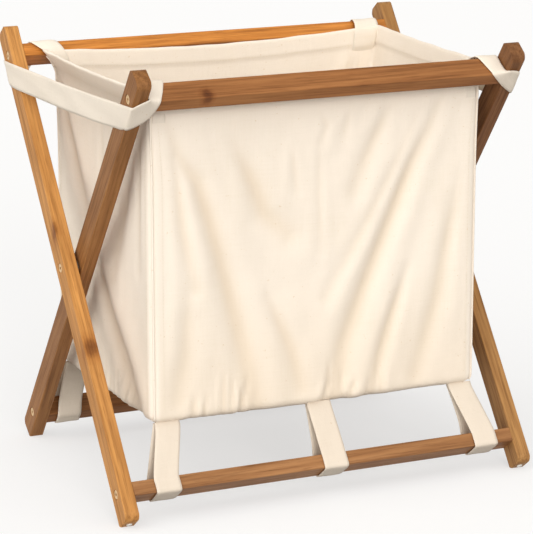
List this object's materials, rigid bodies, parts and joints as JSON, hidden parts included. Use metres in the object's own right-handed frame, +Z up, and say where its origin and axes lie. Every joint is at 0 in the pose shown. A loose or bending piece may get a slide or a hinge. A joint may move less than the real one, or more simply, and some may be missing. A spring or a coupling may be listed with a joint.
{
  "type": "folding laundry hamper",
  "caption": "Folding wooden X-frame laundry hamper with an open-topped rectangular canvas bag hung from its top rails by webbing straps and looped round its bottom rails.",
  "frame": {"origin": "centre of the footprint, on the floor", "axes": "+X along the rails to the right, +Y from the front to the back, +Z up"},
  "size_m": [0.6164, 0.4636, 0.607],
  "materials": {
    "acacia": "oiled, warm brown with light and dark streaks along the grain",
    "bronze_bolt": "satin bronze",
    "washer": "dull",
    "glide": "white nylon",
    "canvas": "cream plain-weave cotton canvas",
    "webbing": "off-white cotton webbing"
  },
  "bodies": {
    "outer_frame": {"leg_outer_left": "acacia", "leg_outer_right": "acacia", "rail_top_back": "acacia", "rail_bottom_front": "acacia", "bolt_outer_left_top": "bronze_bolt", "bolt_outer_left_bottom": "bronze_bolt", "bolt_outer_right_top": "bronze_bolt", "bolt_outer_right_bottom": "bronze_bolt", "insert_outer_left_top": "bronze_bolt", "insert_outer_left_bottom": "bronze_bolt", "insert_outer_right_top": "bronze_bolt", "insert_outer_right_bottom": "bronze_bolt", "pivot_bolt_left": "bronze_bolt", "pivot_bolt_right": "bronze_bolt", "pivot_sleeve_left": "bronze_bolt", "pivot_sleeve_right": "bronze_bolt", "pivot_washer_left": "washer", "pivot_washer_right": "washer", "glide_outer_left": "glide", "glide_outer_right": "glide"},
    "bag": {"panel_front": "canvas", "panel_back": "canvas", "panel_left": "canvas", "panel_right": "canvas", "panel_bottom": "canvas", "piping_front_left": "canvas", "piping_front_right": "canvas", "piping_back_left": "canvas", "piping_back_right": "canvas", "strap_left": "webbing", "strap_right": "webbing", "loop_front_left": "webbing", "loop_front_middle": "webbing", "loop_front_right": "webbing", "loop_back_left": "webbing", "loop_back_middle": "webbing", "loop_back_right": "webbing"},
    "inner_frame": {"leg_inner_left": "acacia", "leg_inner_right": "acacia", "rail_top_front": "acacia", "rail_bottom_back": "acacia", "bolt_inner_left_top": "bronze_bolt", "bolt_inner_left_bottom": "bronze_bolt", "bolt_inner_right_top": "bronze_bolt", "bolt_inner_right_bottom": "bronze_bolt", "insert_inner_left_top": "bronze_bolt", "insert_inner_left_bottom": "bronze_bolt", "insert_inner_right_top": "bronze_bolt", "insert_inner_right_bottom": "bronze_bolt", "glide_inner_left": "glide", "glide_inner_right": "glide"}
  },
  "joints": [
    {"name": "bag_swing", "type": "hinge", "parent": "outer_frame", "child": "bag", "pos_m": [0, 0, 0.30402], "axis": [-1, 0, 0], "range_deg": [0, 32], "deforming": ["panel_front", "panel_back", "panel_left", "panel_right", "panel_bottom", "piping_front_left", "piping_front_right", "piping_back_left", "piping_back_right", "strap_left", "strap_right", "loop_front_left", "loop_front_middle", "loop_front_right", "loop_back_left", "loop_back_middle", "loop_back_right"]},
    {"name": "frame_fold", "type": "hinge", "parent": "bag", "child": "inner_frame", "pos_m": [0, 0, 0.30402], "axis": [-1, 0, 0], "range_deg": [0, 32]}
  ],
  "couplings": [
    {"joint": "bag_swing", "follows": "frame_fold", "ratio": 1}
  ]
}
